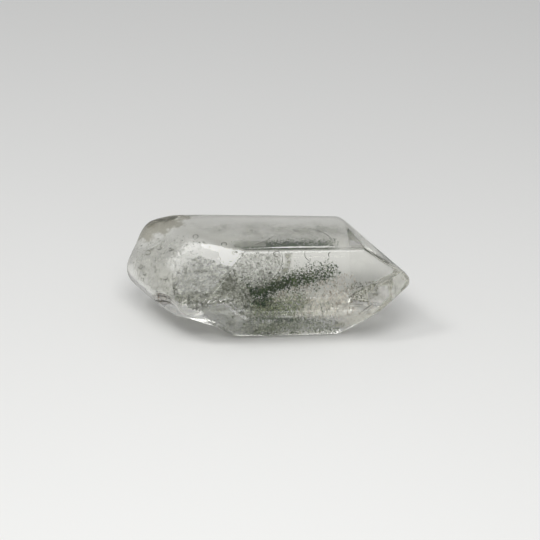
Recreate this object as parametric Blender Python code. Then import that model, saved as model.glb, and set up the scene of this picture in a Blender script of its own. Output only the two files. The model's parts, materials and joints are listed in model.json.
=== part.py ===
"""A quartz crystal lying on one of its long faces, its point towards +X.

Six prism faces run along the crystal, five faces close the point, and the other end is a
worn break. The upper front face runs on to the tip, so no face of the point stands over it.
Every face is a flat plane, and neighbouring faces meet in a rounded edge.
"""
import math
from itertools import combinations

import bmesh
import bpy
from mathutils import Vector

MM = 0.001

# Driving dimensions, in millimetres
HEIGHT = 16.2                # lying height at the middle of the crystal
RIDGE_Y = -1.5               # where the top face meets the upper front face
WAIST_Z = 6.1                # height of the edge between the two front faces
BACK_FOOT_Y = 10.8           # where the flat underside ends at the back
BACK_RIDGE_Y = 13.4          # where the top face ends at the back
KNEE = Vector((16.6, -1.5, 15.8))        # front end of the long ridge
FRONT_BEVEL = Vector((18.4, -6.7, 6.1))  # on the narrow front face of the point
TOE = Vector((12.7, 0.0, 0.2))           # where the flat underside ends towards the point
BACK_BEVEL = Vector((14.0, 10.8, 0.0))   # on the lower back face of the point
BACK_CORNER = Vector((14.0, 10.9, 15.65))  # where the point starts behind the top face
RHOMB_ANGLE = 51.8           # slope of a pyramid face's normal from the long axis, in degrees

# How far the edges are worn round, in millimetres: a place and the radius around it
WEAR = (
    (Vector((25.0, 5.0, 7.0)), 1.5),      # tip
    (Vector((16.0, -1.5, 15.8)), 0.9),    # knee of the ridge
    (Vector((14.0, 13.0, 15.5)), 0.9),    # back of the point
    (Vector((14.0, 3.0, 1.0)), 1.2),      # foot of the point
    (Vector((-3.0, -1.5, 15.5)), 1.0),    # left end of the ridge
    (Vector((-17.0, 13.0, 16.0)), 2.2),   # back shoulder
    (Vector((-14.0, 3.0, 15.5)), 4.0),    # front shoulder
    (Vector((-24.5, 8.0, 9.0)), 3.2),     # broken end
    (Vector((-17.0, -2.0, 5.0)), 2.2),    # chipped lower corner
    (Vector((-8.0, -4.0, 1.0)), 2.6),     # foot of the broken end
)
ARC_STEP = 9.0               # degrees between two facets of a rounded edge
FLAT_ANGLE = 0.05            # facets this close in direction are one flat face, in degrees
SHARP_ANGLE = 18.0           # edges steeper than this stay crisp, in degrees
PARALLEL = 1e-6              # three normals that span less than this don't meet in one point
TOUCHING = 1e-5              # a corner this far outside a face, in millimetres, is still on it

# Shell-shaped chips: a place on the surface, the way out of it, the curve's radius and the depth
CHIPS = {
    "lower_front_chip": (Vector((-9.5, -6.9, 5.0)), Vector((-0.25, -0.85, -0.45)), 10.0, 1.1),
    "undercut_chip": (Vector((-13.0, -3.6, 2.2)), Vector((-0.25, -0.42, -0.87)), 11.0, 1.9),
    "stained_chip": (Vector((-18.6, -2.2, 5.8)), Vector((-0.60, -0.65, -0.47)), 4.5, 0.9),
}


def around(angle, lean=0.0):
    """Normal of a face that runs along X, turned about X by angle and leaning to +X by lean."""
    turn = math.radians(angle)
    return Vector((math.tan(math.radians(lean)), -math.cos(turn), math.sin(turn))).normalized()


def pyramid(angle):
    """Normal of the point's face that stands over the prism face at the same angle."""
    turn = math.radians(angle)
    slope = math.radians(RHOMB_ANGLE)
    return Vector((math.cos(slope), -math.cos(turn) * math.sin(slope), math.sin(turn) * math.sin(slope)))


def crystal_faces():
    """Every flat face, as its outward normal and a point on it."""
    waist_y = RIDGE_Y - (HEIGHT - WAIST_Z) * math.tan(math.radians(30))
    prism = [
        (around(90, 1.5), Vector((0, 0, HEIGHT))),
        (around(30, 1.7), Vector((0, RIDGE_Y, HEIGHT))),
        (around(-30, 1.2), Vector((0, waist_y, WAIST_Z))),
        (around(-90), Vector((0, 0, 0))),
        (around(-150, 1.0), Vector((0, BACK_FOOT_Y, 0))),
        (around(150, 3.4), Vector((0, BACK_RIDGE_Y, HEIGHT))),
    ]
    point = [
        (Vector((0.533, 0.126, 0.837)), KNEE),
        (pyramid(-30), FRONT_BEVEL),
        (Vector((0.585, -0.13, -0.80)), TOE),
        (pyramid(-150), BACK_BEVEL),
        (Vector((0.73, 0.33, 0.60)), BACK_CORNER),
    ]
    worn_end = [
        (Vector((-0.42, -0.62, 0.80)), Vector((-4.8, -1.5, HEIGHT))),
        (Vector((-0.37, -0.80, 0.47)), Vector((-10.6, -5.2, 10.5))),
        (Vector((-0.58, -0.22, 0.80)), Vector((-13.6, 2.6, HEIGHT))),
        (Vector((-0.80, -0.50, 0.33)), Vector((-24.7, 8.0, 7.9))),
        (Vector((-0.70, -0.35, -0.62)), Vector((-24.9, 6.0, 7.5))),
        (Vector((-0.407, -0.25, -0.87)), Vector((-8.0, -4.5, 0.2))),
        (Vector((-0.85, 0.38, 0.34)), Vector((-24.1, 12.0, 11.0))),
    ]
    return [(normal.normalized(), place) for normal, place in prism + point + worn_end]


def corners(faces, inset):
    """Points where three faces meet once every face has moved inwards by inset."""
    found = []
    planes = [(normal, normal.dot(place) - inset) for normal, place in faces]
    for trio in combinations(planes, 3):
        (n1, d1), (n2, d2), (n3, d3) = trio
        spread = n1.dot(n2.cross(n3))
        if abs(spread) < PARALLEL:
            continue
        corner = (d1 * n2.cross(n3) + d2 * n3.cross(n1) + d3 * n1.cross(n2)) / spread
        if all(normal.dot(corner) < reach + TOUCHING for normal, reach in planes):
            found.append((corner, (n1, n2, n3)))
    return found


def cap(corner, normals, radius):
    """Points of the ball patch that rounds one corner off."""
    widest = max(a.angle(b) for a, b in combinations(normals, 2))
    steps = max(2, round(math.degrees(widest) / ARC_STEP))
    points = []
    for i in range(steps + 1):
        for j in range(steps + 1 - i):
            k = steps - i - j
            out = (i * normals[0] + j * normals[1] + k * normals[2]).normalized()
            points.append(corner + radius * out)
    return points


def wear_at(corner):
    """Radius of the worn place that lies nearest."""
    return min(WEAR, key=lambda spot: (spot[0] - corner).length)[1]


def rounded_crystal():
    """The closed mesh of the crystal, in millimetres."""
    faces = crystal_faces()
    shape = bmesh.new()
    for radius in sorted({spot[1] for spot in WEAR}):
        for corner, normals in corners(faces, radius):
            if wear_at(corner) == radius:
                for place in cap(corner, normals, radius):
                    shape.verts.new(place)
    hull = bmesh.ops.convex_hull(shape, input=shape.verts)
    spare = [item for item in hull["geom_interior"] if isinstance(item, bmesh.types.BMVert)]
    bmesh.ops.delete(shape, geom=spare, context="VERTS")
    bmesh.ops.recalc_face_normals(shape, faces=shape.faces)
    flat = math.radians(FLAT_ANGLE)
    bmesh.ops.dissolve_limit(shape, angle_limit=flat, verts=shape.verts, edges=shape.edges)
    return shape


def clear_scene():
    for thing in list(bpy.data.objects):
        bpy.data.objects.remove(thing, do_unlink=True)


def add_object(name, shape):
    """Link an object made from shape, scaled from millimetres to metres."""
    bmesh.ops.scale(shape, verts=shape.verts, vec=(MM, MM, MM))
    mesh = bpy.data.meshes.new(name)
    shape.to_mesh(mesh)
    shape.free()
    thing = bpy.data.objects.new(name, mesh)
    bpy.context.scene.collection.objects.link(thing)
    return thing


def chip_away(crystal, name):
    """Cut one shell-shaped chip out of the crystal with a ball."""
    place, outward, radius, depth = CHIPS[name]
    ball = bmesh.new()
    bmesh.ops.create_icosphere(ball, subdivisions=4, radius=radius)
    bmesh.ops.translate(ball, verts=ball.verts, vec=place + outward.normalized() * (radius - depth))
    cutter = add_object(name, ball)
    cutter.parent = crystal
    cutter.hide_render = True
    cutter.display_type = "WIRE"
    cut = crystal.modifiers.new(name, "BOOLEAN")
    cut.operation = "DIFFERENCE"
    cut.solver = "EXACT"
    cut.object = cutter


def centre_on_origin(crystal):
    """Move the crystal so that its flat underside stands on the origin, in the middle of its box."""
    graph = bpy.context.evaluated_depsgraph_get()
    box = crystal.evaluated_get(graph).bound_box
    middle_x = (min(p[0] for p in box) + max(p[0] for p in box)) / 2
    middle_y = (min(p[1] for p in box) + max(p[1] for p in box)) / 2
    crystal.location = (-middle_x, -middle_y, 0.0)


def quartz_material():
    material = bpy.data.materials.new("clear_quartz")
    material.use_nodes = True
    shader = material.node_tree.nodes["Principled BSDF"]
    shader.inputs["Base Color"].default_value = (0.72, 0.73, 0.68, 1.0)
    shader.inputs["Roughness"].default_value = 0.05
    shader.inputs["Metallic"].default_value = 0.0
    shader.inputs["IOR"].default_value = 1.544
    shader.inputs["Transmission Weight"].default_value = 0.9
    return material


def main():
    clear_scene()
    crystal = add_object("quartz_point", rounded_crystal())
    for name in CHIPS:
        chip_away(crystal, name)
    crystal.data.materials.append(quartz_material())
    crystal.data.shade_smooth()
    crystal.data.set_sharp_from_angle(angle=math.radians(SHARP_ANGLE))
    centre_on_origin(crystal)


main()
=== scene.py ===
import json
import math

import bpy
import numpy as np
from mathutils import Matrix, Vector
from mathutils.bvhtree import BVHTree

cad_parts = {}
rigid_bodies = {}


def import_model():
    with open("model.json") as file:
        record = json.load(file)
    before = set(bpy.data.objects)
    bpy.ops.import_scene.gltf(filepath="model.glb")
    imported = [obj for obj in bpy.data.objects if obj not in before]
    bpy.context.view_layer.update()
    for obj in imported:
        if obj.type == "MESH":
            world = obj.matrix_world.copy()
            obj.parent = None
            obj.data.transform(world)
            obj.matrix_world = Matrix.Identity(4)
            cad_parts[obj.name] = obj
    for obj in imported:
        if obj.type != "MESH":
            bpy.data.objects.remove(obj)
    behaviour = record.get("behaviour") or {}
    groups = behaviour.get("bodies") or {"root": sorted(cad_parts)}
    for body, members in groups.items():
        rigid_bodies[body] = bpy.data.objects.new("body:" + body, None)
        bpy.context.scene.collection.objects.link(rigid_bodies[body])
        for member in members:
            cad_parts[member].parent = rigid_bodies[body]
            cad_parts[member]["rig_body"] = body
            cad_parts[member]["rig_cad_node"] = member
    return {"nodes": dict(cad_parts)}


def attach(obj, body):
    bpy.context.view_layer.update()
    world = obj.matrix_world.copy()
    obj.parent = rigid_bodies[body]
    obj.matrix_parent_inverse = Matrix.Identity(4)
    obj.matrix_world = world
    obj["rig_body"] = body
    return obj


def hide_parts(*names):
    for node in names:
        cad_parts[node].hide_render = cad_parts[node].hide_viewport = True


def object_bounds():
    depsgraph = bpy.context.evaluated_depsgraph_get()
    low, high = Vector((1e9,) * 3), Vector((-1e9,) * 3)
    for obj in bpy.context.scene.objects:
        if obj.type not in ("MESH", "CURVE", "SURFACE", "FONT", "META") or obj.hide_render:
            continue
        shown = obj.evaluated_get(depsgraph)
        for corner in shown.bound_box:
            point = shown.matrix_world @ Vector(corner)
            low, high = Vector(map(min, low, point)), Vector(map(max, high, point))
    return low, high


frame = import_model()

MM = 0.001
NODE = "quartz_point"
CAD_LOW, CAD_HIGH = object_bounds()

# Camera, from the photograph's viewing angle
CAMERA_AZIMUTH = -4.0
CAMERA_ELEVATION = 27.0
CAMERA_DISTANCE = 420 * MM
CAMERA_LENS = 156.8
LOOK_AT = Vector((0.69, -1.58, 9.75)) * MM

FLOOR_GAP = 0.04 * MM

# The crystal's skin: how fine its mesh is, and how its worn faces roll
SKIN_STEP = 0.21 * MM
ROLLS = ((7.0, 0.05), (1.6, 0.015))      # width and height of the rolls on every face, in millimetres
WORN_ROLLS = ((2.5, 0.12), (0.8, 0.05))  # the same on the broken end
SHEET_STEP = 0.2         # the mesh of the thin sheets, in millimetres
TORN = 0.8               # a sheet ends where neighbours in its mesh are farther apart than this
NOWHERE = (math.nan,) * 3
SHARE_STEPS = 80         # how finely the worn parts of the skin pass into the others
INSIDE_MARGIN = 0.20     # how far grains and veils keep from the skin, in millimetres

# The dark green grains lie on a plane that dips from under the ridge to the foot of the back:
# y = SHEET_Y - SHEET_DIP * z, in millimetres. The streak runs along it from its high end to its low end.
SHEET_Y = 7.0
SHEET_DIP = 0.705
STREAK_HIGH = (11.9, 6.7)    # x, z
STREAK_LOW = (-2.6, 0.7)

# Marks are placed as the photograph shows them: millimetres to the right of the crystal's middle
# and up from its long ridge, square to the line of sight. They are then moved along that line
# until they meet the skin, and on to their depth, along the line itself or straight down.
TURN = math.radians(CAMERA_AZIMUTH)
RISE = math.radians(CAMERA_ELEVATION)
TO_CAMERA = Vector((math.sin(TURN) * math.cos(RISE), -math.cos(TURN) * math.cos(RISE), math.sin(RISE)))
RIGHT = Vector((math.cos(TURN), math.sin(TURN), 0.0))
UP = TO_CAMERA.cross(RIGHT)
MIDDLE_OF_RIDGE = LOOK_AT / MM + UP * 3.21
FRONT = -TO_CAMERA
TOP = Vector((0.0, 0.0, -1.0))

# Outlines of the veils under the front, as places on the front
LEFT_VEIL = ((-12.4, -0.6), (-15.4, -2.2), (-17.2, -5.0), (-17.0, -8.2), (-13.6, -10.2), (-8.0, -8.9),
             (-4.6, -11.3), (-2.6, -11.7), (-2.9, -8.6), (-3.4, -7.3), (-6.2, -3.2), (-9.0, -2.0))
DIAMOND = ((-5.4, -0.3), (2.0, -0.1), (2.1, -1.8), (0.4, -5.0), (-2.5, -7.3), (-6.4, -3.4))
LOW_VEIL = ((-4.6, -9.2), (-4.4, -11.4), (10.0, -11.6), (13.0, -9.6), (9.0, -8.2), (2.0, -7.6))
STROKE_CENTRE = (-8.2, -13.0)    # the veils' strokes run round this place on the front

# The broken end is frosted, but for one polished patch. So is the chip under the front. The upper
# corner of the broken end is darkened with painted shade, an olive-brown tint that stands in for a dark refraction.
POLISHED = ((-12.2, 2.2), (-3.0, 0.1), (-5.4, -2.9), (-8.3, -2.3), (-9.3, -1.0), (-8.9, -0.1), (-12.0, 0.8))
CHIPPED = ((-13.2, -9.2), (-8.0, -8.9), (-4.6, -11.3), (-2.2, -12.6), (-2.2, -14.4), (-5.0, -15.2),
           (-8.0, -14.4), (-11.0, -12.4))
FROSTED_FOOT = ((-20.0, -9.4), (-8.0, -8.9), (-4.6, -11.3), (-2.0, -12.0), (11.5, -12.0), (12.0, -16.0),
                (-20.0, -16.0))
# The line on the front above which the painted shade darkens the broken end's upper corner
PAINTED_SHADE_EDGE = ((-23.6, 1.6), (-17.0, 4.0))
WORN_AWAY = (10.5, 14.5)  # how far left of the middle the wear that rounds the broken end begins and is full
BACK_RIM = ((-15.0, 8.3, 16.5), (13.3, 8.2, 16.0))  # the top's far edge, which is worn round
RIM_REACH = 3.2
WAIST_END = (14.3, -8.5)  # where the waist of the front meets the point, as it is seen
WAIST_END_REACH = 2.2
SHOULDER = (-20.0, 9.0, 13.5)  # the broken end is fullest round this place
SHOULDER_REACH = 6.5
SHOULDER_RISE = 0.7

# Outlines of more veils under the front: the foot, the band over it, and the point's lower side
FOOT = ((-4.5, -11.9), (10.7, -11.8), (13.4, -12.5), (11.6, -14.4), (-2.7, -14.9), (-5.7, -13.9))
BAND = ((5.4, -9.0), (7.6, -7.2), (13.4, -6.2), (15.4, -8.6), (13.0, -11.9), (8.0, -12.3), (3.8, -11.4))
BAND_START = ((-5.2, -7.6), (0.0, -7.0), (5.8, -6.6), (8.4, -8.4), (6.6, -11.9), (-3.8, -11.8))
MIDDLE = ((2.0, -7.0), (9.0, -5.0), (14.6, -3.4), (15.2, -5.2), (13.4, -8.2), (5.0, -8.8), (0.5, -8.8))
CLUMP = ((-3.4, -6.2), (-0.8, -6.6), (0.4, -8.2), (-1.0, -9.9), (-3.3, -9.4))
POINT_BACK = ((16.2, 0.8), (18.0, -0.2), (21.5, -3.0), (23.3, -4.2), (23.6, -3.4), (20.5, 0.0), (17.5, 2.8),
              (15.5, 5.0), (14.5, 5.9))
POINT_CLOUD = ((13.2, -6.4), (14.6, -5.4), (18.2, -5.2), (19.6, -6.8), (18.2, -8.9), (14.3, -8.9))
POINT_PALE = ((16.8, -7.1), (18.2, -5.7), (21.1, -5.5), (21.4, -7.9), (19.6, -9.6), (17.1, -9.3))
POINT_LOW = ((11.6, -8.9), (17.5, -8.6), (19.8, -9.6), (17.6, -12.2), (13.6, -13.9), (11.0, -13.6))
BROKEN = ((-25.0, -3.0), (-23.5, 1.0), (-18.0, 3.2), (-11.5, 2.2), (-12.0, -1.0), (-15.6, -3.0), (-17.0, -8.8),
          (-20.5, -8.0), (-24.0, -5.0))
TIP = ((21.4, -4.3), (23.2, -3.2), (24.3, -4.8), (23.6, -6.4), (21.6, -8.75), (21.1, -8.4))
RUST = ((-21.4, -7.6), (-19.4, -7.0), (-17.5, -7.7), (-16.8, -9.2), (-18.8, -9.7), (-20.8, -8.9))
WHITE_CHIP = ((-20.2, -9.2), (-17.9, -9.2), (-16.0, -10.0), (-16.3, -11.0), (-18.2, -10.8))
TOP_HAZE = ((-15.7, 5.4), (-8.0, 6.1), (12.5, 5.9), (15.4, 3.0), (14.7, 2.2), (-3.5, 1.9), (-11.6, 2.9))
RIDGE_HAZE = ((-6.6, 0.8), (-0.2, 0.8), (-0.8, 2.3), (-6.6, 2.3))
OLIVE_BAND = ((2.3, 0.1), (4.2, -0.1), (3.7, -3.0), (1.4, -5.9), (0.7, -5.2), (2.3, -2.0))

# Lines in the crystal, each through a few places on its face: fine cracks, the rims of old
# chips and the edges of healed faces, and white lines that are painted highlights. Widths and depths under the skin are
# in millimetres.
LINES = (
    # Fine cracks at the lower right: their white is partly the cracks and partly their painted glint
    ("white_and_painted_highlight", FRONT, 0.14, ((12.5, -9.6), (14.6, -9.5), (17.1, -9.7))),
    ("white_and_painted_highlight", FRONT, 0.13, ((17.5, -9.8), (16.1, -11.3))),
    ("white_and_painted_highlight", FRONT, 0.12, ((18.9, -9.3), (17.4, -10.3), (15.9, -11.4))),
    ("white_and_painted_highlight", FRONT, 0.13, ((19.6, -10.0), (17.2, -12.0))),
    ("white_and_painted_highlight", FRONT, 0.12, ((18.5, -6.1), (18.9, -5.4), (19.8, -4.9))),
    ("white_and_painted_highlight", FRONT, 0.14, ((21.7, -4.8), (22.2, -6.4), (22.0, -7.5), (21.5, -8.4))),
    ("white_and_painted_highlight", FRONT, 0.16, ((11.3, -12.2), (13.0, -12.5))),
    # A painted highlight: the bright rim along the lower edge of the broken end
    ("white_and_painted_highlight", FRONT, 0.14, ((-14.1, -11.3), (-11.6, -11.8), (-10.2, -12.9), (-8.4, -13.9))),
    # A painted highlight along the long ridge
    ("white_and_painted_highlight", FRONT, 0.18, ((-4.8, 0.42), (2.0, 0.70), (9.0, 0.78), (16.2, 0.84))),
    # A painted highlight along the edge from the ridge down to the point
    ("white_and_painted_highlight", FRONT, 0.10, ((16.7, 0.7), (19.6, -1.6), (21.9, -2.9), (22.9, -3.5))),
    ("grey", FRONT, 0.06, ((2.0, 0.2), (2.15, -1.8), (0.4, -5.0), (-2.5, -7.3))),
    ("dark", FRONT, 0.12, ((14.8, -9.2), (16.4, -9.25))),
    ("dark", FRONT, 0.15, ((-21.0, -8.3), (-19.9, -8.7), (-18.0, -8.8), (-16.8, -9.5))),
    ("dark", FRONT, 0.07, ((-20.8, -7.8), (-19.2, -7.8), (-17.6, -8.3), (-16.6, -9.2))),
    ("white_and_painted_highlight", FRONT, 0.10, ((-21.0, -7.6), (-19.3, -7.2), (-17.4, -7.9), (-16.4, -9.0))),
    ("dark", FRONT, 0.07, ((18.3, -9.0), (17.0, -9.9), (15.6, -10.9))),
    ("dark", FRONT, 0.07, ((20.0, -9.6), (18.3, -10.9))),
    ("dark", FRONT, 0.08, ((10.4, -1.0), (10.3, -0.4), (10.7, 0.0))),
    ("grey", FRONT, 0.07, ((6.1, 0.0), (6.2, -0.9), (7.1, -1.8))),
    ("grey", FRONT, 0.08, ((-17.5, -3.4), (-16.1, -3.6), (-15.4, -4.3), (-15.7, -5.3), (-17.5, -5.9))),
    ("grey", FRONT, 0.10, ((-10.2, -1.1), (-10.6, -1.9), (-11.4, -2.9))),
    ("grey", FRONT, 0.06, ((-12.9, -9.2), (-12.8, -9.8), (-12.9, -10.5))),
    ("grey", FRONT, 0.05, ((-12.9, -8.9), (-10.4, -9.1), (-8.4, -8.9))),
    ("grey", TOP, 0.11, ((-2.7, 1.3), (-0.9, 1.9), (0.9, 3.0))),
    ("white_and_painted_highlight", TOP, 0.10, ((-2.9, 1.4), (-1.2, 2.1), (0.5, 3.2))),
    ("grey", TOP, 0.12, ((6.8, 4.3), (8.9, 3.8), (10.4, 2.9), (11.1, 2.1))),
    ("white_and_painted_highlight", TOP, 0.10, ((8.9, 4.0), (10.2, 3.3), (10.9, 2.5))),
)

# Small round bruises on the broken end and the front: place on the front, radius and how far round
BRUISES = (
    (-21.9, -0.1, 0.55, 300), (-21.2, 0.6, 0.35, 200), (-23.2, -2.6, 0.45, 260), (-19.8, 0.7, 0.40, 220),
    (-13.2, 2.7, 0.45, 330), (-8.1, 1.3, 0.45, 280), (-6.2, -0.2, 0.42, 320), (1.2, -0.4, 0.60, 300),
    (-15.6, -6.1, 0.15, 360), (-22.4, -3.9, 0.30, 200), (-18.6, -4.6, 0.5, 150), (-17.8, 0.4, 0.35, 240),
)
MARK_DEPTH = 0.15

# The ways out of the six long faces and of the faces of the point. Where the skin leans away from
# all of them it is a worn edge, which is a little frosted.
FACE_WAYS = (
    (0.0, 0.0, 1.0), (0.0, -0.866, 0.5), (0.0, -0.866, -0.5), (0.0, 0.0, -1.0), (0.0, 0.866, -0.5),
    (0.06, 0.864, 0.5), (0.533, 0.126, 0.837), (0.618, -0.681, -0.393), (0.585, -0.13, -0.8),
    (0.618, 0.681, -0.393), (0.72, 0.33, 0.6),
)


def deselect_all():
    bpy.ops.object.select_all(action="DESELECT")


def make_active(thing):
    deselect_all()
    thing.select_set(True)
    bpy.context.view_layer.objects.active = thing


def apply_modifier(thing, kind, **settings):
    """Add one modifier with these settings and apply it."""
    make_active(thing)
    modifier = thing.modifiers.new(kind.title(), kind)
    for key, value in settings.items():
        setattr(modifier, key, value)
    bpy.ops.object.modifier_apply(modifier=modifier.name)


def merged_copy(name):
    """A copy of the CAD crystal with its loose triangles joined."""
    make_active(frame["nodes"][NODE])
    bpy.ops.object.duplicate(linked=False)
    copy = bpy.context.object
    copy.name = name
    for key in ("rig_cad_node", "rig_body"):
        if key in copy:
            del copy[key]
    copy.parent = None
    bpy.ops.object.mode_set(mode="EDIT")
    bpy.ops.mesh.select_all(action="SELECT")
    bpy.ops.mesh.remove_doubles(threshold=1e-6)
    bpy.ops.object.mode_set(mode="OBJECT")
    return copy


def smooth_step(value, low, high):
    share = np.clip((value - low) / (high - low), 0, 1)
    return share * share * (3 - 2 * share)


def front_places(points):
    """Where points, in millimetres, are seen: right of the middle and up from the ridge."""
    offset = points - np.array(MIDDLE_OF_RIDGE)
    return offset @ np.array(RIGHT), offset @ np.array(UP)


def above(edge, x, w):
    """How far the places lie above and to the left of a line on the front."""
    (x0, w0), (x1, w1) = edge
    length = math.hypot(x1 - x0, w1 - w0)
    return ((w - w0) * (x1 - x0) - (x - x0) * (w1 - w0)) / length


def run_distance(points, start, end):
    """How far each point lies from a straight run."""
    start, end = np.array(start), np.array(end)
    run = end - start
    share = np.clip((points - start) @ run / (run @ run), 0, 1)
    return np.linalg.norm(points - start - share[:, None] * run, axis=1)


def skin_arrays(crystal):
    """The skin's points, in millimetres, and its normals."""
    mesh = crystal.data
    points = np.empty(len(mesh.vertices) * 3)
    mesh.vertices.foreach_get("co", points)
    normals = np.empty(len(mesh.vertices) * 3)
    mesh.vertex_normals.foreach_get("vector", normals)
    return points.reshape(-1, 3) / MM, normals.reshape(-1, 3)


def mark_skin(crystal, name, share):
    """Keep a share for each point of the skin, as an attribute and as a vertex group."""
    layer = crystal.data.attributes.new(name, "FLOAT", "POINT")
    layer.data.foreach_set("value", share.astype(np.float32))
    group = crystal.vertex_groups.new(name=name)
    for step in range(1, SHARE_STEPS + 1):
        members = np.flatnonzero(np.round(share * SHARE_STEPS) == step)
        group.add(members.tolist(), step / SHARE_STEPS, "REPLACE")


def roll_skin(crystal, rolls, group=""):
    """Let the faces roll a little, each roll with its own width and height."""
    for width, height in rolls:
        texture = bpy.data.textures.new("rolls", "CLOUDS")
        texture.noise_scale = width * MM
        apply_modifier(
            crystal, "DISPLACE", texture=texture, texture_coords="LOCAL",
            strength=height * MM, mid_level=0.5, vertex_group=group,
        )


def build_crystal(form):
    crystal = merged_copy("crystal")
    apply_modifier(crystal, "REMESH", mode="VOXEL", voxel_size=SKIN_STEP)
    apply_modifier(crystal, "SHRINKWRAP", target=form, wrap_method="NEAREST_SURFACEPOINT")
    points, normals = skin_arrays(crystal)
    x, w = front_places(points)
    worn = smooth_step(-x, *WORN_AWAY)
    chip_rim = smooth_step(1.6 - edge_distance(CHIPPED, x, w), 0, 1.0) * (normals[:, 1] < 0)
    rim = 0.6 * smooth_step(RIM_REACH - run_distance(points, *BACK_RIM), 0, RIM_REACH)
    from_end = np.hypot(x - WAIST_END[0], w - WAIST_END[1])
    waist_end = 0.6 * smooth_step(WAIST_END_REACH - from_end, 0, WAIST_END_REACH) * (normals[:, 1] < 0)
    mark_skin(crystal, "worn", np.maximum.reduce([worn, chip_rim, rim, waist_end]))
    apply_modifier(crystal, "SMOOTH", factor=0.5, iterations=200, vertex_group="worn")
    points, normals = skin_arrays(crystal)
    near = smooth_step(SHOULDER_REACH - np.linalg.norm(points - SHOULDER, axis=1), 0, SHOULDER_REACH)
    mark_skin(crystal, "shoulder", near)
    apply_modifier(crystal, "DISPLACE", strength=SHOULDER_RISE * MM, mid_level=0, vertex_group="shoulder")
    points, normals = skin_arrays(crystal)
    x, w = front_places(points)
    broken = smooth_step(-normals[:, 0], 0.12, 0.32)
    mark_skin(crystal, "broken", broken)
    frost = broken.copy()
    chipped = within(FROSTED_FOOT, x, w) * smooth_step(edge_distance(FROSTED_FOOT, x, w), 0, 0.8)
    frost = np.maximum(frost, 0.7 * chipped * (normals[:, 1] < 0))
    flat = (normals @ np.array(FACE_WAYS).T).max(axis=1)
    frost = np.maximum(frost, 0.9 * smooth_step(-flat, -0.992, -0.96) * (x > -10))
    frost[within(POLISHED, x, w)] = 0
    mark_skin(crystal, "frost", frost)
    # Painted shade: how far the olive-brown tint that stands in for a dark refraction reaches over the upper corner
    painted_shade = np.clip(0.5 + above(PAINTED_SHADE_EDGE, x, w) / 3.0, 0, 1) * smooth_step(-x, 10.0, 18.0)
    mark_skin(crystal, "painted_shade", painted_shade)
    roll_skin(crystal, ROLLS)
    roll_skin(crystal, WORN_ROLLS, "broken")
    keep_in_box(crystal)
    crystal.data.materials.clear()
    crystal.data.materials.append(quartz_material())
    make_active(crystal)
    bpy.ops.object.shade_smooth()
    return crystal


def keep_in_box(piece):
    """Bring whatever stands out of the CAD crystal's box back onto it."""
    mesh = piece.data
    points = np.empty(len(mesh.vertices) * 3)
    mesh.vertices.foreach_get("co", points)
    points = np.clip(points.reshape(-1, 3), CAD_LOW, CAD_HIGH)
    mesh.vertices.foreach_set("co", points.ravel())
    mesh.update()


def depth_below(tree, place):
    """How deep a place, in millimetres, lies under the crystal's skin."""
    near, normal, _, _ = tree.find_nearest(Vector(place) * MM)
    return (near - Vector(place) * MM).dot(normal) / MM


def inside(tree, places, margin=INSIDE_MARGIN):
    return np.array([depth_below(tree, place) > margin for place in places])


def booklet():
    """A six-sided plate a millimetre across, the form that every chlorite grain is a copy of."""
    deselect_all()
    bpy.ops.mesh.primitive_cylinder_add(vertices=6, radius=0.5, depth=0.6)
    return bpy.context.object


def sliver():
    """A flat lens a millimetre long, the form that every stroke of a veil is a copy of."""
    deselect_all()
    bpy.ops.mesh.primitive_cone_add(vertices=6, radius1=0.5, depth=0.2)
    return bpy.context.object


def under(tree, way, x, w, depth):
    """The place a depth below the skin that is seen at x and w. All in millimetres."""
    start = MIDDLE_OF_RIDGE + RIGHT * x + UP * w + TO_CAMERA * 40
    hit = tree.ray_cast(start * MM, -TO_CAMERA)[0]
    return None if hit is None else hit / MM + way * depth


def within(outline, x, w):
    """Which of the places x, w lie inside an outline."""
    found = np.zeros(len(x), bool)
    for (x0, w0), (x1, w1) in zip(outline, outline[1:] + outline[:1]):
        crosses = (w0 > w) != (w1 > w)
        found ^= crosses & (x < x0 + (w - w0) * (x1 - x0) / (w1 - w0))
    return found


def places_in(random, outline, count):
    """About count random places in an outline."""
    low, high = np.min(outline, 0), np.max(outline, 0)
    x, w = random.uniform(low, high, size=(count, 2)).T
    keep = within(outline, x, w)
    return x[keep], w[keep]


def turns(random, count):
    """Evenly spread random rotations, as matrices."""
    q = random.normal(size=(count, 4))
    w, x, y, z = (q / np.linalg.norm(q, axis=1)[:, None]).T
    return np.stack([
        np.stack([1 - 2 * (y * y + z * z), 2 * (x * y - z * w), 2 * (x * z + y * w)], -1),
        np.stack([2 * (x * y + z * w), 1 - 2 * (x * x + z * z), 2 * (y * z - x * w)], -1),
        np.stack([2 * (x * z - y * w), 2 * (y * z + x * w), 1 - 2 * (x * x + y * y)], -1),
    ], 1)


def joined_copies(name, form, places, matrices, material):
    """One mesh made of a copy of form at each place, turned and sized by its matrix."""
    corners = np.array([v.co for v in form.data.vertices])
    faces = [list(face.vertices) for face in form.data.polygons]
    points = np.einsum("nij,vj->nvi", matrices, corners) + np.asarray(places)[:, None]
    step = len(corners)
    polygons = [[k + step * i for k in face] for i in range(len(places)) for face in faces]
    mesh = bpy.data.meshes.new(name)
    mesh.from_pydata((points.reshape(-1, 3) * MM).tolist(), [], polygons)
    thing = bpy.data.objects.new(name, mesh)
    bpy.context.scene.collection.objects.link(thing)
    mesh.materials.append(material)
    bpy.data.objects.remove(form, do_unlink=True)
    return thing


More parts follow.
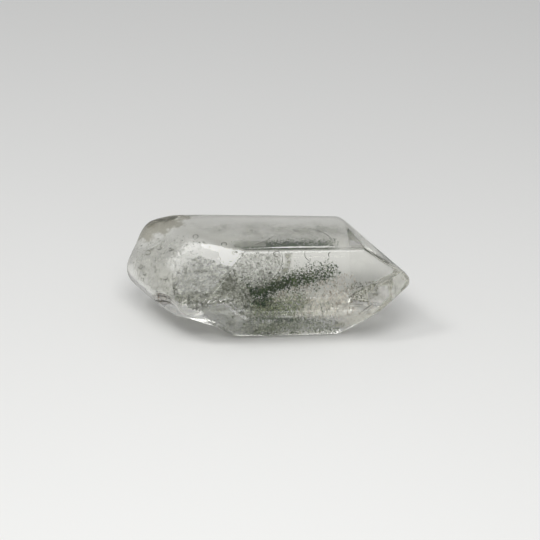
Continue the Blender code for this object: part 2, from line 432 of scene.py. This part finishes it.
def sheet_places(random, t, across, thick, bend):
    """Random places around the streak, at the shares t of its way."""
    high, low = np.array(STREAK_HIGH), np.array(STREAK_LOW)
    run = (low - high) / np.linalg.norm(low - high)
    side = np.array([-run[1], run[0]])
    middle = high + t[:, None] * (low - high)
    away = random.normal(size=len(t)) * across + bend
    x, z = (middle + away[:, None] * side).T
    y = SHEET_Y - SHEET_DIP * z + random.normal(size=len(t)) * thick
    return np.stack([x, y, z], -1)


def build_grains(tree, name, places, least, spread, power, random, material):
    """Booklets at the places that lie in the crystal, from least to least + spread across."""
    places = places[inside(tree, places)]
    size = least + spread * random.uniform(0.0, 1.0, size=len(places)) ** power
    matrices = turns(random, len(places)) * size[:, None, None]
    return joined_copies(name, booklet(), places, matrices, material)


def build_chlorite(tree):
    """The grains of the streak, the looser ones around it and the pale dust between them."""
    dark = chlorite_material("chlorite", (0.005, 0.030, 0.004), (0.085, 0.17, 0.03))
    pale = chlorite_material("chlorite_dust", (0.07, 0.11, 0.035), (0.30, 0.34, 0.18))
    random = np.random.default_rng(11)
    t = random.beta(2.1, 0.7, size=1550) * 1.04 - 0.02
    places = sheet_places(random, t, 1.05 - 0.25 * t, 0.7, 0.4 * np.sin(t * 9.0))
    streak = build_grains(tree, "chlorite_streak", places, 0.12, 0.20, 2, random, dark)
    random = np.random.default_rng(12)
    t = random.beta(1.2, 0.9, size=2300) * 1.2 - 0.08
    places = sheet_places(random, t, 1.5 + 1.3 * t, 1.1, -0.5)
    scatter = build_grains(tree, "chlorite_scatter", places, 0.09, 0.18, 3, random, dark)
    random = np.random.default_rng(13)
    t = random.beta(1.3, 0.8, size=3300) * 1.1 - 0.05
    places = sheet_places(random, t, 1.4 + 0.8 * t, 1.6, -0.2)
    dust = build_grains(tree, "chlorite_dust", places, 0.07, 0.09, 1, random, pale)
    return [streak, scatter, dust]


def build_point_grains(tree):
    """Olive grains close under the lower side of the point."""
    random = np.random.default_rng(14)
    x, w = places_in(random, POINT_CLOUD, 620)
    more_x, more_w = places_in(random, TIP, 90)
    x, w = np.append(x, more_x), np.append(w, more_w)
    depths = random.uniform(0.3, 1.6, size=len(x))
    places = [under(tree, FRONT, *spot) for spot in zip(x, w, depths)]
    places = np.array([place for place in places if place])
    olive = chlorite_material("chlorite_olive", (0.07, 0.08, 0.035), (0.34, 0.33, 0.22))
    return build_grains(tree, "point_grains", places, 0.07, 0.16, 2, random, olive)


def build_clump(tree):
    """The darkest grains, close under the front where the streak ends."""
    random = np.random.default_rng(15)
    x, w = places_in(random, CLUMP, 480)
    depths = random.uniform(0.3, 1.2, size=len(x))
    places = np.array([under(tree, FRONT, *spot) for spot in zip(x, w, depths)])
    dark = chlorite_material("chlorite_dark", (0.005, 0.032, 0.004), (0.05, 0.12, 0.02))
    return build_grains(tree, "chlorite_clump", places, 0.09, 0.20, 2, random, dark)


def stroke_matrices(random, x, w, length, width):
    """Turns and sizes of strokes that lie in the front's plane and run round STROKE_CENTRE."""
    angle = np.arctan2(w - STROKE_CENTRE[1], x - STROKE_CENTRE[0]) + math.pi / 2
    angle += random.normal(size=len(x)) * 0.45
    across = np.array(RIGHT)
    along = np.cos(angle)[:, None] * across + np.sin(angle)[:, None] * np.array(UP)
    out = np.array(TO_CAMERA) + random.normal(size=(len(x), 3)) * 0.35
    side = np.cross(out, along)
    side /= np.linalg.norm(side, axis=1)[:, None]
    out = np.cross(along, side)
    return np.stack([along * length[:, None], side * width[:, None], out * width[:, None]], -1)


def build_strokes(tree, name, outline, count, seed, depths, material):
    random = np.random.default_rng(seed)
    x, w = places_in(random, outline, count)
    depth = random.uniform(*depths, size=len(x))
    places = [under(tree, FRONT, *place) for place in zip(x, w, depth)]
    met = np.array([place is not None for place in places])
    places = [place for place in places if place]
    x, w = x[met], w[met]
    length = random.uniform(0.20, 0.65, size=len(x))
    width = random.uniform(0.09, 0.17, size=len(x))
    matrices = stroke_matrices(random, x, w, length, width)
    return joined_copies(name, sliver(), places, matrices, material)


def edge_distance(outline, x, w):
    """How far each place lies from the nearest side of an outline."""
    nearest = np.full(len(x), np.inf)
    for (x0, w0), (x1, w1) in zip(outline, outline[1:] + outline[:1]):
        dx, dw = x1 - x0, w1 - w0
        share = np.clip(((x - x0) * dx + (w - w0) * dw) / (dx * dx + dw * dw), 0, 1)
        nearest = np.minimum(nearest, np.hypot(x - x0 - share * dx, w - w0 - share * dw))
    return nearest


def torn(grid):
    """Which places of a sheet lie far from a neighbour, as where the skin steps back."""
    found = np.zeros(grid.shape[:2], bool)
    far = np.linalg.norm(np.diff(grid, axis=0), axis=2) > TORN
    found[1:] |= far
    found[:-1] |= far
    far = np.linalg.norm(np.diff(grid, axis=1), axis=2) > TORN
    found[:, 1:] |= far
    found[:, :-1] |= far
    return found


def inner_part(kept):
    """The kept places of a sheet that aren't on its rim."""
    rows, columns = kept.shape
    padded = np.pad(kept, 1)
    around = [padded[i:i + rows, j:j + columns] for i in range(3) for j in range(3)]
    return np.logical_and.reduce(around)


def build_sheet(tree, name, outline, depth, fade, material, way=FRONT):
    """A thin milky sheet under a face, fading towards its outline."""
    low, high = np.min(outline, 0), np.max(outline, 0)
    columns, rows = np.ceil((high - low) / SHEET_STEP).astype(int)
    deselect_all()
    bpy.ops.mesh.primitive_grid_add(x_subdivisions=int(columns), y_subdivisions=int(rows), size=1)
    sheet = bpy.context.object
    sheet.name = name
    bpy.ops.object.mode_set(mode="EDIT")
    bpy.ops.mesh.select_all(action="DESELECT")
    bpy.ops.object.mode_set(mode="OBJECT")
    x, w = np.array([low + (np.array(v.co.xy) + 0.5) * (high - low) for v in sheet.data.vertices]).T
    depths = depth * (1 + 0.12 * np.sin(x * 1.3 + 2 * np.sin(w)) + 0.1 * np.sin(w * 1.9 + x))
    places = np.array([under(tree, way, *spot) or NOWHERE for spot in zip(x, w, depths)])
    shape = (int(rows) + 1, int(columns) + 1)
    kept = (within(outline, x, w) & ~np.isnan(places[:, 0])).reshape(shape)
    kept &= ~torn(places.reshape(*shape, 3))
    thickness = smooth_step(edge_distance(outline, x, w), 0, fade) * inner_part(kept).ravel()
    places[~kept.ravel()] = MIDDLE_OF_RIDGE
    sheet.data.vertices.foreach_set("co", (places * MM).ravel())
    sheet.data.vertices.foreach_set("select", ~kept.ravel())
    layer = sheet.data.attributes.new("thickness", "FLOAT", "POINT")
    layer.data.foreach_set("value", thickness.astype(np.float32))
    make_active(sheet)
    bpy.ops.object.mode_set(mode="EDIT")
    bpy.ops.mesh.delete(type="VERT")
    bpy.ops.object.mode_set(mode="OBJECT")
    sheet.data.materials.append(material)
    bpy.ops.object.shade_smooth()
    return sheet


def film_material(name, colour, least, most, grain):
    """A milky film whose thickness is a fine noise, thinner towards the sheet's edges."""
    material = bpy.data.materials.new(name)
    material.use_nodes = True
    nodes = material.node_tree.nodes
    links = material.node_tree.links
    shader = nodes["Principled BSDF"]
    shader.inputs["Base Color"].default_value = (*colour, 1.0)
    shader.inputs["Roughness"].default_value = 0.6
    place = nodes.new("ShaderNodeTexCoord")
    noise = nodes.new("ShaderNodeTexNoise")
    noise.inputs["Scale"].default_value = grain
    noise.inputs["Detail"].default_value = 4.0
    links.new(place.outputs["Object"], noise.inputs["Vector"])
    film = ramp(nodes, links, noise.outputs["Fac"], 0.35, 0.65, least, most)
    alpha = nodes.new("ShaderNodeMath")
    alpha.operation = "MULTIPLY"
    links.new(film, alpha.inputs[0])
    links.new(attribute(nodes, "thickness"), alpha.inputs[1])
    links.new(alpha.outputs["Value"], shader.inputs["Alpha"])
    return material


def build_thread(places, radius):
    """A thin round line through places, in millimetres, finer towards its ends."""
    data = bpy.data.curves.new("thread", "CURVE")
    data.dimensions = "3D"
    data.bevel_depth = radius * MM
    data.bevel_resolution = 1
    data.use_fill_caps = True
    data.resolution_u = 8
    spline = data.splines.new("BEZIER")
    spline.bezier_points.add(len(places) - 1)
    for point, place in zip(spline.bezier_points, places):
        point.co = place * MM
        point.handle_left_type = point.handle_right_type = "AUTO"
    spline.bezier_points[0].radius = spline.bezier_points[-1].radius = 0.3
    thread = bpy.data.objects.new("thread", data)
    bpy.context.scene.collection.objects.link(thread)
    make_active(thread)
    bpy.ops.object.convert(target="MESH")
    return bpy.context.object


def join(name, parts, material):
    make_active(parts[0])
    for part in parts:
        part.select_set(True)
    if len(parts) > 1:
        bpy.ops.object.join()
    whole = bpy.context.object
    whole.name = name
    whole.data.materials.clear()
    whole.data.materials.append(material)
    bpy.ops.object.shade_smooth()
    return whole


def bruise_places(tree, x, w, radius, sweep):
    """Places round a small circle on the front, squeezed a little."""
    start = x * 7.0
    angles = [math.radians(start + sweep * k / 8) for k in range(9)]
    ring = [(x + radius * math.cos(a), w + 0.7 * radius * math.sin(a)) for a in angles]
    places = [under(tree, FRONT, a, b, MARK_DEPTH) for a, b in ring]
    return [place for place in places if place]


def build_lines(tree):
    threads = {"white_and_painted_highlight": [], "dark": [], "grey": []}
    for tone, way, radius, run in LINES:
        places = [under(tree, way, x, w, max(MARK_DEPTH, radius + 0.03)) for x, w in run]
        places = [place for place in places if place]
        threads[tone].append(build_thread(places, radius))
    for x, w, radius, sweep in BRUISES:
        threads["grey"].append(build_thread(bruise_places(tree, x, w, radius, sweep), 0.08))
    tones = {
        # The white lines are partly cracks and rims, partly painted highlights and glints
        "white_and_painted_highlight": ((0.78, 0.78, 0.74), (0.96, 0.96, 0.93)),
        "dark": ((0.03, 0.03, 0.02), (0.08, 0.075, 0.05)),
        "grey": ((0.13, 0.13, 0.10), (0.30, 0.30, 0.25)),
    }
    return [join(f"{tone}_lines", threads[tone], veil_material(f"crack_{tone}", *tones[tone])) for tone in threads]


def veil_material(name, dark, light):
    """Strokes of one veil: some dark, some light, by a noise as fine as they are."""
    material = bpy.data.materials.new(name)
    material.use_nodes = True
    nodes = material.node_tree.nodes
    links = material.node_tree.links
    shader = nodes["Principled BSDF"]
    shader.inputs["Roughness"].default_value = 0.35
    place = nodes.new("ShaderNodeTexCoord")
    speckle = nodes.new("ShaderNodeTexNoise")
    speckle.inputs["Scale"].default_value = 1400.0
    speckle.inputs["Detail"].default_value = 1.0
    links.new(place.outputs["Object"], speckle.inputs["Vector"])
    colours = nodes.new("ShaderNodeValToRGB")
    colours.color_ramp.elements[0].position = 0.42
    colours.color_ramp.elements[0].color = (*dark, 1.0)
    colours.color_ramp.elements[1].position = 0.58
    colours.color_ramp.elements[1].color = (*light, 1.0)
    links.new(speckle.outputs["Fac"], colours.inputs["Fac"])
    links.new(colours.outputs["Color"], shader.inputs["Base Color"])
    return material


def build_veils(tree):
    grey = veil_material("veil_grey", (0.14, 0.15, 0.10), (0.66, 0.67, 0.59))
    pale = veil_material("veil_pale", (0.20, 0.21, 0.16), (0.82, 0.83, 0.78))
    olive = veil_material("veil_olive", (0.09, 0.12, 0.05), (0.66, 0.67, 0.55))
    rosy = veil_material("veil_rosy", (0.46, 0.41, 0.34), (0.92, 0.87, 0.80))
    return [
        build_strokes(tree, "left_veil", LEFT_VEIL, 4800, 21, (0.12, 0.7), grey),
        build_strokes(tree, "broken_veil", BROKEN, 700, 28, (0.1, 0.35), pale),
        build_strokes(tree, "diamond_veil", DIAMOND, 600, 22, (0.5, 1.5), pale),
        build_strokes(tree, "low_veil", LOW_VEIL, 900, 23, (0.5, 2.0), olive),
        build_strokes(tree, "middle_veil", MIDDLE, 620, 27, (0.3, 1.5), rosy),
        build_strokes(tree, "foot_veil", FOOT, 900, 24, (0.1, 0.4), olive),
        build_strokes(tree, "chip_veil", CHIPPED, 520, 29, (0.1, 0.35), grey),
        build_strokes(tree, "band_veil", BAND, 420, 25, (0.3, 0.9), rosy),
        build_strokes(tree, "point_veil", POINT_LOW, 260, 26, (0.3, 0.9), rosy),
    ]


def build_films(tree):
    return [
        build_sheet(tree, "left_film", LEFT_VEIL, 2.4, 2.4, film_material("film_left", (0.44, 0.45, 0.37), 0.55, 1.0, 1800)),
        build_sheet(tree, "broken_film", BROKEN, 0.5, 1.5, film_material("film_broken", (0.93, 0.93, 0.87), 0.0, 0.7, 250)),
        build_sheet(tree, "diamond_film", DIAMOND, 2.0, 0.15, film_material("film_pale", (0.60, 0.61, 0.56), 0.05, 0.55, 1800)),
        build_sheet(tree, "olive_film", OLIVE_BAND, 1.2, 0.5, film_material("film_olive", (0.33, 0.34, 0.24), 0.2, 0.8, 900)),
        build_sheet(tree, "chip_film", CHIPPED, 0.35, 0.9, film_material("film_chip", (0.50, 0.51, 0.47), 0.55, 0.95, 600)),
        build_sheet(tree, "foot_film", FOOT, 0.8, 0.8, film_material("film_foot", (0.32, 0.36, 0.23), 0.10, 0.80, 2400)),
        build_sheet(tree, "band_start_film", BAND_START, 1.0, 1.5, film_material("film_start", (0.32, 0.36, 0.21), 0.05, 0.95, 2400)),
        build_sheet(tree, "point_back_film", POINT_BACK, 0.5, 0.5, film_material("film_back", (0.88, 0.88, 0.84), 0.3, 0.8, 300)),
        build_sheet(tree, "band_film", BAND, 0.8, 1.8, film_material("film_band", (0.96, 0.94, 0.85), 0.45, 1.0, 2000)),
        build_sheet(tree, "point_film", POINT_PALE, 0.6, 0.7, film_material("film_point", (0.92, 0.91, 0.90), 0.2, 0.9, 600)),
        build_sheet(tree, "point_low_film", POINT_LOW, 0.6, 0.8, film_material("film_low", (0.93, 0.92, 0.86), 0.5, 1.0, 500)),
        build_sheet(tree, "tip_film", TIP, 0.5, 0.4, film_material("film_tip", (0.96, 0.96, 0.92), 0.6, 1.0, 500)),
        build_sheet(tree, "rust_film", RUST, 0.3, 0.3, film_material("film_rust", (0.20, 0.13, 0.07), 0.2, 0.9, 900)),
        build_sheet(tree, "white_chip_film", WHITE_CHIP, 0.3, 0.3, film_material("film_white", (0.85, 0.84, 0.80), 0.2, 0.9, 700)),
        build_sheet(tree, "ridge_haze", RIDGE_HAZE, 0.4, 0.4, film_material("film_ridge", (0.50, 0.51, 0.44), 0.5, 0.9, 300), TOP),
        build_sheet(tree, "top_haze", TOP_HAZE, 0.5, 2.0, film_material("film_haze", (0.44, 0.45, 0.37), 0.0, 0.65, 330), TOP),
    ]


def attribute(nodes, name):
    node = nodes.new("ShaderNodeAttribute")
    node.attribute_name = name
    return node.outputs["Fac"]


def ramp(nodes, links, value, low, high, first, last):
    """Map a value from the range low to high to the range first to last."""
    node = nodes.new("ShaderNodeMapRange")
    links.new(value, node.inputs["Value"])
    node.inputs["From Min"].default_value = low
    node.inputs["From Max"].default_value = high
    node.inputs["To Min"].default_value = first
    node.inputs["To Max"].default_value = last
    return node.outputs["Result"]


def quartz_material():
    material = bpy.data.materials.new("clear_quartz")
    material.use_nodes = True
    nodes = material.node_tree.nodes
    links = material.node_tree.links
    shader = nodes["Principled BSDF"]
    shader.inputs["Base Color"].default_value = (1.0, 1.0, 1.0, 1.0)
    shader.inputs["IOR"].default_value = 1.544
    shader.inputs["Transmission Weight"].default_value = 1.0
    links.new(ramp(nodes, links, attribute(nodes, "frost"), 0.0, 1.0, 0.01, 0.24), shader.inputs["Roughness"])
    place = nodes.new("ShaderNodeTexCoord")
    ragged = nodes.new("ShaderNodeTexNoise")
    ragged.inputs["Scale"].default_value = 800.0
    ragged.inputs["Detail"].default_value = 6.0
    links.new(place.outputs["Object"], ragged.inputs["Vector"])
    edge = nodes.new("ShaderNodeMath")
    edge.operation = "ADD"
    links.new(attribute(nodes, "painted_shade"), edge.inputs[0])
    links.new(ramp(nodes, links, ragged.outputs["Fac"], 0.2, 0.8, -0.5, 0.5), edge.inputs[1])
    # The skin's colour, darkened towards B by the painted shade, with a ragged edge
    tint = nodes.new("ShaderNodeMix")
    tint.data_type = "RGBA"
    tint.inputs["A"].default_value = (0.99, 0.99, 0.96, 1.0)
    tint.inputs["B"].default_value = (0.36, 0.34, 0.27, 1.0)
    links.new(ramp(nodes, links, edge.outputs["Value"], 0.40, 0.75, 0.0, 1.0), tint.inputs["Factor"])
    links.new(tint.outputs["Result"], shader.inputs["Base Color"])
    absorb = nodes.new("ShaderNodeVolumeAbsorption")
    absorb.inputs["Color"].default_value = (0.955, 0.95, 0.905, 1.0)
    absorb.inputs["Density"].default_value = 22.0
    output = nodes["Material Output"]
    links.new(absorb.outputs["Volume"], output.inputs["Volume"])
    return material


def chlorite_material(name, dark, light):
    """Grains of two tones that pass into each other from place to place."""
    material = bpy.data.materials.new(name)
    material.use_nodes = True
    nodes = material.node_tree.nodes
    links = material.node_tree.links
    shader = nodes["Principled BSDF"]
    shader.inputs["Roughness"].default_value = 0.55
    place = nodes.new("ShaderNodeTexCoord")
    patches = nodes.new("ShaderNodeTexNoise")
    patches.inputs["Scale"].default_value = 700.0
    patches.inputs["Detail"].default_value = 3.0
    links.new(place.outputs["Object"], patches.inputs["Vector"])
    colours = nodes.new("ShaderNodeValToRGB")
    colours.color_ramp.elements[0].position = 0.35
    colours.color_ramp.elements[0].color = (*dark, 1.0)
    colours.color_ramp.elements[1].position = 0.70
    colours.color_ramp.elements[1].color = (*light, 1.0)
    links.new(patches.outputs["Fac"], colours.inputs["Fac"])
    links.new(colours.outputs["Color"], shader.inputs["Base Color"])
    return material


def add_floor():
    deselect_all()
    bpy.ops.mesh.primitive_plane_add(size=6.0, location=(0, 0, -FLOOR_GAP))
    floor = bpy.context.object
    floor.name = "floor"
    material = bpy.data.materials.new("pale_floor")
    material.use_nodes = True
    shader = material.node_tree.nodes["Principled BSDF"]
    shader.inputs["Base Color"].default_value = (0.81, 0.81, 0.79, 1.0)
    shader.inputs["Roughness"].default_value = 0.9
    shader.inputs["Specular IOR Level"].default_value = 0.1
    floor.data.materials.append(material)


def add_area_light(name, place, target, size, power):
    deselect_all()
    bpy.ops.object.light_add(type="AREA", location=place)
    light = bpy.context.object
    light.name = name
    light.data.shape = "RECTANGLE"
    light.data.size = size[0]
    light.data.size_y = size[1]
    light.data.energy = power
    light.rotation_euler = (Vector(target) - Vector(place)).to_track_quat("-Z", "Y").to_euler()
    return light


def light_scene():
    world = bpy.data.worlds.new("soft_room")
    bpy.context.scene.world = world
    world.use_nodes = True
    world.node_tree.nodes["Background"].inputs["Color"].default_value = (0.97, 0.975, 1.0, 1.0)
    world.node_tree.nodes["Background"].inputs["Strength"].default_value = 0.40
    add_area_light("key", (-0.01, -0.155, 0.27), (-0.01, -0.09, 0), (0.20, 0.20), 0.49)
    add_area_light("low_front", (-0.02, -0.50, 0.10), (0, 0, 0.0), (0.50, 0.09), 0.40)
    add_area_light("left_window", (-0.33, -0.02, 0.49), (0, 0, 0), (0.17, 0.17), 0.64)
    add_area_light("back_window", (0.05, 0.68, 0.42), (0, 0, 0.01), (0.5, 0.18), 0.10)


def add_camera():
    deselect_all()
    bpy.ops.object.camera_add(location=LOOK_AT + TO_CAMERA * CAMERA_DISTANCE)
    camera = bpy.context.object
    camera.rotation_euler = (-TO_CAMERA).to_track_quat("-Z", "Y").to_euler()
    camera.data.lens = CAMERA_LENS
    camera.data.clip_start = 0.01
    bpy.context.scene.camera = camera


add_camera()
form = merged_copy("crystal_form")
crystal = build_crystal(form)
tree = BVHTree.FromObject(crystal, bpy.context.evaluated_depsgraph_get())
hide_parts(NODE)
pieces = [crystal, *build_chlorite(tree), build_clump(tree), build_point_grains(tree)]
pieces += [*build_veils(tree), *build_films(tree), *build_lines(tree)]
for piece in pieces:
    keep_in_box(piece)
    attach(piece, "root")
bpy.data.objects.remove(form, do_unlink=True)
add_floor()
light_scene()

scene = bpy.context.scene
scene.view_settings.view_transform = "Standard"
scene.cycles.max_bounces = 24
scene.cycles.glossy_bounces = 16
scene.cycles.transmission_bounces = 24
